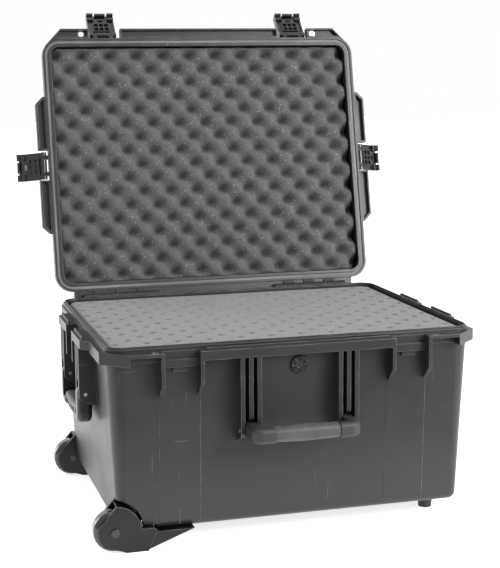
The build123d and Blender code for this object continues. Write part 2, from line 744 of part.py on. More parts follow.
# ----------------------------------------------------------------- bail handles
# Modelled hanging with the pivot along X at the origin, outer side toward -Y.
half = bail_thickness / 2
with BuildPart() as bail:
    with BuildSketch(Plane.XZ.offset(half)) as bail_face:
        with Locations((0, -bail_drop / 2)):
            Rectangle(2 * arm_outer, bail_drop)
        fillet(bail_face.vertices().group_by(Axis.Y)[0], bail_corner)
        with Locations((0, -(bail_drop - bail_bar) / 2)):
            Rectangle(2 * arm_inner, bail_drop - bail_bar, mode=Mode.SUBTRACT)
    extrude(amount=-bail_thickness)
    with BuildSketch(Plane.YZ.offset(-arm_outer)):
        Circle(half)
    extrude(amount=2 * arm_outer)
    with Locations((0, 0, -(bail_drop - bail_bar) / 2)):
        Box(2 * arm_inner, 2 * bail_thickness, bail_drop - bail_bar + 2.0 * half, mode=Mode.SUBTRACT)
    with Locations((0, 0, -bail_drop + bail_bar / 2)):
        Box(2 * grip_half, 2 * bail_thickness, 2 * bail_bar, mode=Mode.SUBTRACT)
    fillet(bail.edges().filter_by(Axis.X).group_by(Axis.Z)[0], 7.0)
    with Locations((0, 0, -bail_drop + bail_bar / 2)):
        Box(2 * grip_half + 2.0, bail_core, bail_core)
    with BuildSketch(Plane.YZ):
        Circle(pivot_pin / 2 + running_gap)
    extrude(amount=rim_length / 2, both=True, mode=Mode.SUBTRACT)
with BuildPart() as bail_grip:
    with BuildSketch(Plane.YZ.offset(-grip_half + 0.3)):
        with Locations((0, -bail_drop + bail_bar / 2)):
            RectangleRounded(bail_thickness, bail_bar, 9.5)
            Rectangle(bail_core + 0.04, bail_core + 0.04, mode=Mode.SUBTRACT)
    extrude(amount=2 * grip_half - 0.6)

for name, (turn, reach, pivot_z, raised) in bail_places.items():
    home = Location((0, 0, 0), (0, 0, turn)) * Location((0, -reach + pivot_depth, pivot_z), (-raised, 0, 0))
    for piece, kind in ((bail, "handle_frame"), (bail_grip, "handle_grip")):
        copy_here = piece.part.moved(home)
        copy_here.label = f"{kind}_{name}"
        export_step(copy_here, f"parts/{kind}_{name}.step")

with BuildPart() as handle_pins:
    for turn, reach, pivot_z, raised in bail_places.values():
        side_of = Plane.XY.rotated((0, 0, turn)).location
        for side in (-1, 1):
            middle = side * handle_span / 2
            with BuildSketch(Plane(side_of * Plane.YZ.offset(middle).location)):
                with Locations((-reach + pivot_depth, pivot_z)):
                    Circle(pivot_pin / 2)
            extrude(amount=column_width / 2 + 0.8, both=True)
handle_pins.part.label = "handle_pins"
export_step(handle_pins.part, "parts/handle_pins.step")

# -------------------------------------------------------------------- hinge pins
with BuildPart() as hinge_pins:
    pin_half = (knuckle_count - 1) * knuckle_pitch / 2 + knuckle_width / 2 + 1.0
    pin_middle = hinge_start + (knuckle_count - 1) * knuckle_pitch / 2
    for side in (-1, 1):
        with BuildSketch(Plane.YZ.offset(side * pin_middle)):
            with Locations((hinge_y, hinge_z)):
                Circle(hinge_pin_diameter / 2)
        extrude(amount=pin_half, both=True)
hinge_pins.part.label = "hinge_pins"
export_step(hinge_pins.part, "parts/hinge_pins.step")

# ------------------------------------------------------------------------ wheels
# Modelled at the front; the rear set is its mirror image.
flange_top = 7.5
with BuildPart() as housing:
    for face in (housing_face, plate_inner + plate_thickness):
        with BuildSketch(Plane.XZ.offset(face)):
            with BuildLine():
                arch = CenterArc((axle_x, axle_z), housing_radius, 4.0, 82.0)
                Polyline(
                    arch @ 1,
                    (axle_x - 27.0, axle_z + 7.0),
                    (axle_x - 25.0, axle_z - 10.0),
                    (axle_x - 17.0, axle_z - 23.0),
                    (axle_x + 8.0, axle_z - 29.5),
                    (axle_x + 18.0, -ground_clearance),
                    (skid_foot, -ground_clearance),
                    (axle_x + 65.5, 3.0),
                    (axle_x + 61.0, flange_top),
                    arch @ 0,
                )
            make_face()
        extrude(amount=-plate_thickness)
    # Roof over the wheel and the skid behind it, between the plates.
    with BuildSketch(Plane.XZ.offset(housing_face - 1.0)):
        with Locations((axle_x, axle_z)):
            Circle(housing_radius)
            Circle(housing_radius - 4.0, mode=Mode.SUBTRACT)
        with Locations((axle_x - 47.0, axle_z)):
            Rectangle(100.0, 120.0, mode=Mode.SUBTRACT)
        with Locations((axle_x, axle_z - 60.0 + 4.0)):
            Rectangle(120.0, 120.0, mode=Mode.SUBTRACT)
    extrude(amount=-(housing_face - plate_inner - 2.0))
    with BuildSketch(Plane.XZ.offset(housing_face - 5.0)):
        with BuildLine():
            Polyline(
                (axle_x + 36.5, flange_top), (axle_x + 61.0, flange_top), (axle_x + 66.0, -slip_gap),
                (skid_back, -slip_gap), (skid_foot, -ground_clearance),
                (axle_x + 36.5, -ground_clearance), close=True,
            )
        make_face()
    extrude(amount=-(housing_face - plate_inner - 10.0))
    with BuildSketch(Plane.XZ.offset(housing_face + 5.0)):
        with Locations((axle_x, axle_z)):
            Circle(axle_diameter / 2 + running_gap)
    extrude(amount=-80.0, mode=Mode.SUBTRACT)
    # Screw wells from below.
    with Locations(*[(x, -wheel_y, -12.0) for x in housing_screw_xs]):
        Cylinder(5.0, 32.0, mode=Mode.SUBTRACT)
        Cylinder(housing_screw / 2 + running_gap, 80.0, mode=Mode.SUBTRACT)

with BuildPart() as axle:
    with BuildSketch(Plane.XZ.offset(housing_face)):
        with Locations((axle_x, axle_z)):
            Circle(axle_head / 2)
    extrude(amount=2.5)
    fillet(axle.faces().sort_by(Axis.Y)[0].edges(), 1.2)
    with BuildSketch(Plane.XZ.offset(housing_face)):
        with Locations((axle_x, axle_z)):
            Circle(axle_diameter / 2)
    extrude(amount=-(housing_face - plate_inner))

with BuildPart() as hub:
    with BuildSketch(Plane.XZ.offset(wheel_y - wheel_width / 2)):
        with Locations((axle_x, axle_z)):
            Circle(hub_radius)
    extrude(amount=wheel_width)
    for face in (wheel_y + wheel_width / 2, wheel_y - wheel_width / 2 + hub_recess):
        with BuildSketch(Plane.XZ.offset(face)):
            with Locations((axle_x, axle_z)):
                Circle(hub_radius - 3.0)
                Circle(axle_diameter / 2 + 4.0, mode=Mode.SUBTRACT)
                with PolarLocations(hub_radius / 2 + 2.0, hub_spokes):
                    Rectangle(hub_radius, spoke_width, mode=Mode.SUBTRACT)
        extrude(amount=-hub_recess, mode=Mode.SUBTRACT)
    with BuildSketch(Plane.XZ.offset(wheel_y - wheel_width)):
        with Locations((axle_x, axle_z)):
            Circle(axle_diameter / 2 + running_gap)
    extrude(amount=2 * wheel_width, mode=Mode.SUBTRACT)

with BuildPart() as tyre:
    with BuildSketch(Plane.XZ.offset(wheel_y - wheel_width / 2)):
        with Locations((axle_x, axle_z)):
            Circle(wheel_radius)
            Circle(hub_radius + 0.02, mode=Mode.SUBTRACT)
    extrude(amount=wheel_width)
    outer = tyre.edges().filter_by(GeomType.CIRCLE).filter_by(lambda e: e.radius > wheel_radius - 1)
    fillet(outer, 7.0)

with BuildPart() as housing_screws:
    for x in housing_screw_xs:
        with BuildSketch(Plane.XY.offset(4.0)):
            with Locations((x, -wheel_y)):
                Circle(housing_screw / 2)
        extrude(amount=well_flange_top + screw_depth - 4.0 - 1.5)
        with BuildSketch(Plane.XY.offset(4.0)):
            with Locations((x, -wheel_y)):
                Circle(4.6)
                RegularPolygon(2.2, 6, mode=Mode.SUBTRACT)
        extrude(amount=-3.5)

for name, flip in (("front", False), ("rear", True)):
    for piece, kind in (
        (housing, "wheel_housing"), (axle, "wheel_axle"), (hub, "wheel_hub"), (tyre, "wheel_tyre"),
        (housing_screws, "wheel_housing_screws"),
    ):
        copy_here = mirror(piece.part, about=Plane.XZ) if flip else piece.part.moved(Location())
        copy_here.label = f"{kind}_{name}"
        export_step(copy_here, f"parts/{kind}_{name}.step")

# -------------------------------------------------------------------------- feet
with BuildPart() as feet:
    with BuildSketch(Plane.XY):
        with Locations((foot_x, -foot_y), (foot_x, foot_y)):
            Circle(foot_radius + 2.5)
    extrude(amount=-ground_clearance, taper=4.0)
    with Locations((foot_x, -foot_y, -ground_clearance), (foot_x, foot_y, -ground_clearance)):
        Cylinder(foot_screw + 0.6, 2 * (ground_clearance - 8.0), mode=Mode.SUBTRACT)
        Cylinder(foot_screw / 2 + running_gap, 4 * ground_clearance, mode=Mode.SUBTRACT)
feet.part.label = "rubber_feet"
export_step(feet.part, "parts/rubber_feet.step")

with BuildPart() as foot_screws:
    for y in (-foot_y, foot_y):
        with BuildSketch(Plane.XY.offset(-8.0)):
            with Locations((foot_x, y)):
                Circle(foot_screw / 2)
        extrude(amount=8.0 + floor_thickness)
        with BuildSketch(Plane.XY.offset(-8.0)):
            with Locations((foot_x, y)):
                Circle(foot_screw)
                RegularPolygon(foot_screw / 2, 6, mode=Mode.SUBTRACT)
        extrude(amount=-3.0)
foot_screws.part.label = "foot_screws"
export_step(foot_screws.part, "parts/foot_screws.step")

# ------------------------------------------------------------------- pull handle
tray_end = shell_end - wall
with BuildPart() as tray:
    add(box_between(trough_start + 0.5, tray_end, -trough_half + 0.5, trough_half - 0.5, 0, tray_plate))
    add(
        box_between(
            tray_end - guide_length, tray_end, -trough_half + 0.5, trough_half - 0.5,
            0, trough_depth - 0.5,
        )
    )
    add(
        box_between(
            trough_start + 0.5, trough_start + 12.0, -trough_half + 0.5, trough_half - 0.5,
            0, trough_depth - 0.5,
        )
    )
    for side in (-1, 1):
        add(
            box_between(
                trough_start + 0.5, tray_end, side * (trough_half - 4.0), side * (trough_half - 0.5),
                0, trough_depth - 0.5,
            )
        )
    with Locations(*[(x, y, trough_depth / 2 - 0.25) for x in tray_screw_xs for y in tray_screw_ys]):
        Cylinder(tray_boss, trough_depth - 0.5)
    with BuildSketch(Plane.YZ.offset(tray_end - guide_length - 5.0)):
        with Locations((-tube_y, tube_z), (tube_y, tube_z)):
            Circle(tube_diameter / 2 + 2 * running_gap)
        with Locations((0, tube_z)):
            Rectangle(2 * tube_y - tube_diameter - 8.0, 12.0)
    extrude(amount=guide_length + 20.0, mode=Mode.SUBTRACT)
    with Locations(*[(x, y, 0) for x in tray_screw_xs for y in tray_screw_ys]):
        Cylinder(tray_screw / 2 + running_gap, 3 * trough_depth, mode=Mode.SUBTRACT)
        Cylinder(tray_head + slip_gap, 2 * tray_head_depth, mode=Mode.SUBTRACT)
tray.part.label = "pull_handle_tray"
export_step(tray.part, "parts/pull_handle_tray.step")

with BuildPart() as tubes:
    with BuildSketch(Plane.YZ.offset(tube_start)):
        with Locations((-tube_y, tube_z), (tube_y, tube_z)):
            Circle(tube_diameter / 2)
            Circle(tube_diameter / 2 - tube_wall, mode=Mode.SUBTRACT)
    extrude(amount=tube_end - tube_start)
tubes.part.label = "pull_handle_tubes"
export_step(tubes.part, "parts/pull_handle_tubes.step")

with BuildPart() as pull_grip:
    with BuildSketch(Plane.XY.offset(tube_z - pull_grip_height / 2)):
        with Locations((tube_end + pull_grip_depth / 2 - 6.0, 0)):
            RectangleRounded(pull_grip_depth, 2 * trough_half - 6.0, 6.0)
    extrude(amount=pull_grip_height)
    fillet(pull_grip.faces().sort_by(Axis.Z)[-1].edges(), pull_grip_round)
    fillet(pull_grip.faces().sort_by(Axis.Z)[0].edges(), pull_grip_round)
    with BuildSketch(Plane.YZ.offset(tube_end - pull_socket)):
        with Locations((-tube_y, tube_z), (tube_y, tube_z)):
            Circle(tube_diameter / 2 + 0.02)
    extrude(amount=pull_socket, mode=Mode.SUBTRACT)
    with Locations((tube_end + pull_grip_depth - 6.0, 0, tube_z)):
        Box(16.0, pull_button_width, pull_button_height, mode=Mode.SUBTRACT)
pull_grip.part.label = "pull_handle_grip"
export_step(pull_grip.part, "parts/pull_handle_grip.step")

with BuildPart() as pull_button:
    with Locations((tube_end + pull_grip_depth - 6.0 - 1.5, 0, tube_z)):
        Box(7.0, pull_button_width - slip_gap, pull_button_height - slip_gap)
pull_button.part.label = "pull_handle_button"
export_step(pull_button.part, "parts/pull_handle_button.step")

with BuildPart() as tray_screws:
    for x in tray_screw_xs:
        for y in tray_screw_ys:
            with BuildSketch(Plane.XY.offset(tray_head_depth)):
                with Locations((x, y)):
                    Circle(tray_head)
                    RegularPolygon(1.8, 6, mode=Mode.SUBTRACT)
            extrude(amount=0.2 - tray_head_depth)
            with BuildSketch(Plane.XY.offset(tray_head_depth - 0.5)):
                with Locations((x, y)):
                    Circle(tray_screw / 2)
            extrude(amount=trough_depth + wall - tray_head_depth - 1.5)
tray_screws.part.label = "tray_screws"
export_step(tray_screws.part, "parts/tray_screws.step")

# -------------------------------------------------------------- pressure valve
with BuildPart() as valve:
    with BuildSketch(valve_plane):
        Circle(valve_radius)
    extrude(amount=valve_cap)
    fillet(valve.faces().sort_by(Axis.Y)[0].edges(), 1.2)
    with BuildSketch(valve_plane.offset(valve_cap)):
        with PolarLocations(valve_radius, valve_teeth):
            Rectangle(4.0, 2.6)
        with PolarLocations(valve_radius - 5.0, valve_teeth // 2):
            Circle(1.3)
        Circle(4.5)
        RegularPolygon(3.0, 6, mode=Mode.SUBTRACT)
    extrude(amount=-2.0, mode=Mode.SUBTRACT)
    with BuildSketch(valve_plane):
        Circle(valve_stem / 2)
        Circle(valve_stem / 2 - 4.0, mode=Mode.SUBTRACT)
    extrude(amount=-(wall + valve_nut_height + 0.8))
valve.part.label = "valve_body"
export_step(valve.part, "parts/valve_body.step")

with BuildPart() as valve_nut:
    with BuildSketch(valve_plane.offset(-wall - 0.3)):
        RegularPolygon(valve_stem * 0.8, 6)
        Circle(valve_stem / 2 + press_gap, mode=Mode.SUBTRACT)
    extrude(amount=-valve_nut_height)
valve_nut.part.label = "valve_nut"
export_step(valve_nut.part, "parts/valve_nut.step")

# ---------------------------------------------------------------------- base foam
def foam_layer(bottom, height):
    """Slab of foam that follows the drafted walls of the base."""
    shrink = (base_height - bottom - height) * slope + foam_gap
    half_x = cavity_half_x - shrink
    half_y = cavity_half_y - shrink
    return hanging_block(2 * half_x, 2 * half_y, cavity_radius - shrink / 2, bottom + height, height, draft)


foam_bottom = floor_thickness + 0.3
foam_top = base_height - pad_below_rim
cube_top = foam_top - top_pad
cube_split = (bottom_pad_top + cube_top) / 2
with BuildPart() as bottom_foam:
    add(foam_layer(foam_bottom, bottom_pad_top - foam_bottom))
    add(
        box_between(
            trough_start - wall - 1.0, rim_length, -trough_half - wall - 1.0, trough_half + wall + 1.0,
            0, trough_depth + wall + 0.5,
        ),
        mode=Mode.SUBTRACT,
    )
    for end in (-1, 1):
        add(
            box_between(
                -rim_length, axle_x + well_radius + wall + 25.0, end * (well_inner - wall - 1.0),
                end * rim_depth, -1.0, bottom_pad_top + 1.0,
            ),
            mode=Mode.SUBTRACT,
        )
    with Locations((foot_x, -foot_y, foam_bottom), (foot_x, foot_y, foam_bottom)):
        Cylinder(8.0, 12.0, mode=Mode.SUBTRACT)
bottom_foam.part.label = "foam_bottom_pad"
export_step(bottom_foam.part, "parts/foam_bottom_pad.step")

for name, low, high in (
    ("foam_block_lower", bottom_pad_top + 0.3, cube_split),
    ("foam_block_upper", cube_split + 0.3, cube_top),
    ("foam_top_pad", cube_top + 0.3, foam_top),
):
    with BuildPart() as foam_slab:
        add(foam_layer(low, high - low))
    foam_slab.part.label = name
    export_step(foam_slab.part, f"parts/{name}.step")
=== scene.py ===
import json
import math

import bmesh
import bpy
from mathutils import Matrix, Vector, noise


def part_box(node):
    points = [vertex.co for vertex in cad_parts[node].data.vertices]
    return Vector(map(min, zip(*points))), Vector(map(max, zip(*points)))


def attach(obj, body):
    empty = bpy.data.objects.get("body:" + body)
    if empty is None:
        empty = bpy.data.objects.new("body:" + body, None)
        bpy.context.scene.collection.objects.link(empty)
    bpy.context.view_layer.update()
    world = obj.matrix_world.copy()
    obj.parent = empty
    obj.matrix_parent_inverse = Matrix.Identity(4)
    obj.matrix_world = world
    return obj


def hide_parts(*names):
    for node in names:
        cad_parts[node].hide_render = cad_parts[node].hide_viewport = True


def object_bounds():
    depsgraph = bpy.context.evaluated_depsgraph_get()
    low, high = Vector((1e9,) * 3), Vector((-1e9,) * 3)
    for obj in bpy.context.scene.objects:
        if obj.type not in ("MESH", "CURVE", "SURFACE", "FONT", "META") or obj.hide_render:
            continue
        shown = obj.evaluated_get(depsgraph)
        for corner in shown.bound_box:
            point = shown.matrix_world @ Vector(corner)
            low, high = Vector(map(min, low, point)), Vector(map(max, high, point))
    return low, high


# Looks of a wheeled hard equipment case, standing open. Metres, in the frame of the case:
# X along it (wheels at -X), Y from the latched front (-Y) to the hinge (+Y), Z up.

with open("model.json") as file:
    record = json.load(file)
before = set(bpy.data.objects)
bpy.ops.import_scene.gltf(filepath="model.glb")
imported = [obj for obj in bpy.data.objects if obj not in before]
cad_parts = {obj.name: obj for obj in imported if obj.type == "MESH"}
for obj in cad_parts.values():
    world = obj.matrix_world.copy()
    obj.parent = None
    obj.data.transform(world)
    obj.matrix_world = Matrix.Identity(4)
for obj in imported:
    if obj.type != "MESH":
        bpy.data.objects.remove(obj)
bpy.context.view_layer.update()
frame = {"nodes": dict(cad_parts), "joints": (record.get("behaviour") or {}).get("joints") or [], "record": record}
joints = {joint["name"]: joint for joint in frame["joints"]}
MM = 0.001

# ------------------------------------------------------------------ sizes of the soft pieces
foam_pitch = 50.5 * MM          # peak to peak along the egg-crate foam
crate_depth = 23 * MM           # peaks to valleys
crate_step = 4.2 * MM           # between the points of its mesh
crate_room = 0.6 * MM           # peaks to the face of the slab they stand in
crate_edge = 3.0 * MM           # round at its cut edges
pad_step = 2.7 * MM             # between the points of the top pad's mesh
pad_room = 0.4 * MM
pad_edge = 5.0 * MM
pit_depth = 2.2 * MM            # dents in the top pad
pit_from, pit_ramp = 0.72, 0.22  # where on the hidden egg-crate wave a dent starts, and its slope
pit_stretch = 1.02              # pitch of the lid's foam over that of the dents
edge_rows = (0.0, 0.04, 0.16, 0.4, 0.75, 1.2)   # mesh rows at a cut edge, in radii of its round
base_draft = math.radians(3)    # slope of the walls the base foam stands between
cube_pitch = 16 * MM            # scored cubes of the pluck-out foam
cube_gap = 0.35 * MM
cube_seeds = {"foam_block_upper": 3, "foam_block_lower": 8}
cube_least = (0.985, 0.985, 0.992)   # smallest share of its room a cube fills
pad_voxel = 5 * MM              # bottom pad's softened mesh
pad_softening = 3
weld_gap = 0.01 * MM
grip_rings, grip_around = 44, 56
grip_squareness = 3.1
grip_end = 0.97                 # share of the grip before its ends round over
grip_overhang = 0.2 * MM
rib_count = 15
rib_pitch = 5.2 * MM
rib_radius = 0.9 * MM
rib_sink = 0.6 * MM             # into the grip
rib_short = 3.5 * MM            # at each end of a rib
rib_curl = 0.62                 # how far a rib reaches round the grip
rib_steps, rib_sides = 9, 6

# ------------------------------------------------------------------------ camera and studio
camera_turn = (-15.94, 9.38, -0.44)     # azimuth, elevation and roll, degrees
camera_place = (-0.6373, -2.2033, 0.7156)
camera_lens, camera_sensor, camera_sight = 87.5, 36.0, 50.0     # mm, mm and m
floor_reach = 14.0
white_in_front = 0.22                   # white sheet in front of the case
white_floor, white_glow = (0.9, 0.9, 0.9, 1.0), 0.72
front_grey = (0.4, 0.4, 0.4, 1.0)
white = (1.0, 1.0, 1.0, 1.0)
dim_side = (-0.75, -0.66, 0.0)          # the room is dimmer toward the front left
dim_from, dim_to, dim_light = -0.1, 0.75, 0.7
softboxes = (                           # name, place, aimed at, size, watts
    ("left_softbox", (-2.2, 2.2, 0.7), (0.0, 0.0, 0.3), (0.8, 1.1), 20.0),
    ("rim_softbox", (1.7, -2.3, 1.5), (0.15, 0.2, 0.5), (1.0, 1.0), 70.0),
    ("top_softbox", (-0.3, -0.2, 2.6), (0.0, 0.0, 0.3), (1.6, 1.2), 5.0),
    ("side_softbox", (1.5, -1.4, 0.2), (0.25, 0.0, 0.15), (0.5, 0.6), 6.0),
)

# --------------------------------------------------------------------------------- geometry


def hinge_turn(name, degrees):
    """Matrix of a hinge joint turned from rest."""
    pivot = Matrix.Translation(Vector(joints[name]["pos_m"]))
    turn = Matrix.Rotation(math.radians(degrees), 4, Vector(joints[name]["axis"]))
    return pivot @ turn @ pivot.inverted()


lid_close = hinge_turn("lid_hinge", joints["lid_hinge"]["range_deg"][1])
lid_open = lid_close.inverted()


def plan_of(node, into):
    """Lowest and highest corner of a CAD slab, seen in another frame, and its corner radius."""
    points = [into @ vertex.co for vertex in frame["nodes"][node].data.vertices]
    low = Vector([min(p[i] for p in points) for i in range(3)])
    high = Vector([max(p[i] for p in points) for i in range(3)])
    flank = [p.y for p in points if p.x > high.x - 0.05 * MM]
    return low, high, high.y - max(flank)


def add_object(name, data):
    """New object in the scene, at the origin."""
    thing = bpy.data.objects.new(name, data)
    bpy.context.scene.collection.objects.link(thing)
    return thing


def add_piece(name, mesh, body, material, replaces=()):
    """A finished mesh as a piece on a body, with its finish."""
    piece = add_object(name, mesh)
    if not mesh.materials:
        mesh.materials.append(material)
    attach(piece, body)
    if replaces:
        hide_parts(*replaces)
    return piece


def make_mesh(name, points, faces, place=Matrix()):
    """Smooth mesh from points and faces, moved into place, with its faces outwards."""
    mesh = bpy.data.meshes.new(name)
    mesh.from_pydata([place @ Vector(p) for p in points], [], faces)
    work = bmesh.new()
    work.from_mesh(mesh)
    bmesh.ops.recalc_face_normals(work, faces=work.faces)
    work.to_mesh(mesh)
    work.free()
    mesh.shade_smooth()
    return mesh


def take_mesh(host):
    """Mesh of a helper object as its modifiers leave it; the helper goes."""
    graph = bpy.context.evaluated_depsgraph_get()
    mesh = bpy.data.meshes.new_from_object(host.evaluated_get(graph))
    host.modifiers.clear()
    bpy.data.objects.remove(host)
    return mesh


def stations(half, step, near):
    """Places from -half to half: close together near both ends, even between them."""
    inner = half - near[-1]
    count = max(2, round(2 * inner / step))
    even = [-inner + 2 * inner * k / count for k in range(count + 1)]
    ends = [half - gap for gap in near[:-1]]
    return [-place for place in ends] + even + ends[::-1]


def edge_drop(x, y, half_x, half_y, radius, round_radius):
    """How far the upper face sinks at a point near the rounded outline."""
    out = Vector((max(abs(x) - half_x + radius, 0.0), max(abs(y) - half_y + radius, 0.0)))
    inside = max(abs(x) - half_x, abs(y) - half_y) if out.length == 0 else out.length - radius
    if out.x == 0 or out.y == 0:
        inside = max(abs(x) - half_x, abs(y) - half_y)
    depth = min(max(-inside, 0.0), round_radius)
    return round_radius - math.sqrt(round_radius**2 - (round_radius - depth) ** 2)


def foam_slab(name, half_x, half_y, radius, height, surface, step, edge, taper, place):
    """Closed slab on a rounded-rectangle plan: cut sides, flat underside, shaped upper face."""
    near = [share * edge for share in edge_rows]
    arc = [radius * (1 - math.sin(math.radians(angle))) for angle in range(90, 8, -9)]
    rows = stations(half_y, step, arc + [radius])
    points, pit_shades = [], []
    for y in rows:
        over = max(abs(y) - (half_y - radius), 0.0)
        half_row = half_x - radius + math.sqrt(max(radius**2 - over**2, 0.0))
        span = stations(half_x, step, near)
        for x in span:
            x_here = x * half_row / half_x
            lift, pit_and_shade = surface(x_here, y)
            drop = edge_drop(x_here, y, half_x, half_y, radius, edge)
            points.append((x_here, y, height + lift - drop))
            pit_shades.append(pit_and_shade)
    columns = len(points) // len(rows)
    faces = []
    for r in range(len(rows) - 1):
        for c in range(columns - 1):
            a = r * columns + c
            faces.append((a, a + 1, a + columns + 1, a + columns))
    last = (len(rows) - 1) * columns
    border = list(range(columns))
    border += [r * columns + columns - 1 for r in range(1, len(rows))]
    border += [last + c for c in range(columns - 2, -1, -1)]
    border += [r * columns for r in range(len(rows) - 2, 0, -1)]
    first_low = len(points)
    for index in border:
        x, y, _ = points[index]
        points.append((x * (1 - taper / half_x), y * (1 - taper / half_y), 0.0))
        pit_shades.append(0.0)
    count = len(border)
    for k in range(count):
        after = (k + 1) % count
        faces.append((border[k], first_low + k, first_low + after, border[after]))
    faces.append(tuple(range(first_low, first_low + count)))
    mesh = make_mesh(name, points, faces, place)
    underside = mesh.polygons[len(faces) - 1]
    underside.use_smooth = False
    # Per-point painted shade of the dents and valleys, for the foam's colour.
    mesh.attributes.new("pit_and_shade", "FLOAT", "POINT").data.foreach_set("value", pit_shades)
    return mesh


# -------------------------------------------------------------------------- shader groups


def set_inputs(tree, node, inputs):
    """Fill a node's sockets, by name or number, with values or links."""
    for key, value in inputs.items():
        socket = node.inputs[key]
        if isinstance(value, bpy.types.NodeSocket):
            tree.links.new(value, socket)
        else:
            socket.default_value = value


def add_node(tree, kind, inputs=None, **settings):
    """New node with its settings and sockets filled."""
    node = tree.nodes.new(kind)
    for key, value in settings.items():
        setattr(node, key, value)
    set_inputs(tree, node, inputs or {})
    return node


def calculate(tree, operation, first, second):
    """Sum, difference, product or other result of two values."""
    node = add_node(tree, "ShaderNodeMath", {0: first, 1: second}, operation=operation)
    return node.outputs[0]


def vector_result(tree, operation, inputs, output=0):
    """Result of a vector operation."""
    return add_node(tree, "ShaderNodeVectorMath", inputs, operation=operation).outputs[output]


def ramp(tree, value, low, high, out_low=0.0, out_high=1.0):
    """Smooth change from one value to another between two limits."""
    inputs = {
        "Value": value, "From Min": low, "From Max": high, "To Min": out_low, "To Max": out_high,
    }
    node = add_node(tree, "ShaderNodeMapRange", inputs, interpolation_type="SMOOTHSTEP")
    return node.outputs["Result"]


def blend_colours(tree, share, first, second):
    """The first colour, or as far as the share says the second."""
    node = add_node(tree, "ShaderNodeMix", data_type="RGBA")
    colours = [k for k, socket in enumerate(node.inputs) if socket.type == "RGBA"]
    set_inputs(tree, node, {0: share, colours[0]: first, colours[1]: second})
    return [socket for socket in node.outputs if socket.type == "RGBA"][0]


def tint(tree, base, mask, share, colour):
    """Another colour over a base where a mask is, as strong as the share says."""
    return blend_colours(tree, calculate(tree, "MULTIPLY", mask, share), base, colour)


def shaded(colour, share):
    """A colour made darker."""
    return tuple(share * c for c in colour[:3]) + (1.0,)


def new_group(name, inputs, outputs):
    """Shader node group with named float inputs; an output is a value or a normal."""
    tree = bpy.data.node_groups.new(name, "ShaderNodeTree")
    for label, value in inputs.items():
        socket = tree.interface.new_socket(label, in_out="INPUT", socket_type="NodeSocketFloat")
        socket.default_value = value
    for label, kind in outputs.items():
        tree.interface.new_socket(label, in_out="OUTPUT", socket_type=kind)
    return tree, tree.nodes.new("NodeGroupInput").outputs, tree.nodes.new("NodeGroupOutput")


def object_place(tree):
    """Place on the piece, in its own metres."""
    return tree.nodes.new("ShaderNodeTexCoord").outputs["Object"]


def add_noise(tree, **inputs):
    """Value of a noise texture."""
    return add_node(tree, "ShaderNodeTexNoise", inputs).outputs["Fac"]


def make_edge_wear_and_painted_light():
    """Rounded edge normals, a mask of outer edges for edge wear and painted highlight, and one of recesses for
    painted shade.
    """
    rays, reach_in_radii = 6, 7.0
    outputs = {
        "Normal": "NodeSocketVector", "Rubbed And Highlight": "NodeSocketFloat", "Recess Shade": "NodeSocketFloat",
    }
    tree, given, out = new_group("edge_wear_and_painted_light", {"Radius": 0.001}, outputs)
    soft = add_node(tree, "ShaderNodeBevel", {"Radius": given["Radius"]}, samples=rays)
    soft = soft.outputs["Normal"]
    plain = tree.nodes.new("ShaderNodeNewGeometry").outputs["Normal"]
    cosine = vector_result(tree, "DOT_PRODUCT", {0: soft, 1: plain}, "Value")
    edge = ramp(tree, calculate(tree, "SUBTRACT", 1.0, cosine), 0.01, 0.16)
    reach = calculate(tree, "MULTIPLY", given["Radius"], reach_in_radii)
    open_air = add_node(tree, "ShaderNodeAmbientOcclusion", {"Distance": reach}, samples=rays)
    open_air = open_air.outputs["AO"]
    outer = ramp(tree, open_air, 0.62, 0.95)
    uneven = add_noise(tree, Vector=object_place(tree), Scale=55.0, Detail=3.0)
    patchy = ramp(tree, uneven, 0.35, 0.7, 0.25, 1.0)
    set_inputs(tree, out, {
        "Normal": soft,
        # Outer edges, paled in the materials partly as edge wear and partly as painted highlight.
        "Rubbed And Highlight": calculate(tree, "MULTIPLY", calculate(tree, "MULTIPLY", edge, outer), patchy),
        # Recesses, darkened in the materials as painted shade.
        "Recess Shade": ramp(tree, open_air, 0.35, 0.9, 1.0, 0.0),
    })
    return tree


def make_moulded_grain():
    """Fine pebbled skin of moulded plastic, and a slow mottle over it."""
    fine_share, fine_depth = 2.2, 0.6
    outputs = {"Height": "NodeSocketFloat", "Mottle": "NodeSocketFloat"}
    tree, given, out = new_group("moulded_grain", {"Scale": 900.0}, outputs)
    place = object_place(tree)
    cells = add_node(tree, "ShaderNodeTexVoronoi", {
        "Vector": place, "Scale": given["Scale"],
    }, feature="SMOOTH_F1")
    fine_scale = calculate(tree, "MULTIPLY", given["Scale"], fine_share)
    fine = add_noise(tree, Vector=place, Scale=fine_scale, Detail=2.0)
    fine = calculate(tree, "MULTIPLY", fine, fine_depth)
    slow = add_noise(tree, Vector=place, Scale=7.0, Detail=5.0, Roughness=0.6)
    set_inputs(tree, out, {
        "Height": calculate(tree, "ADD", cells.outputs["Distance"], fine),
        "Mottle": ramp(tree, slow, 0.3, 0.7),
    })
    return tree


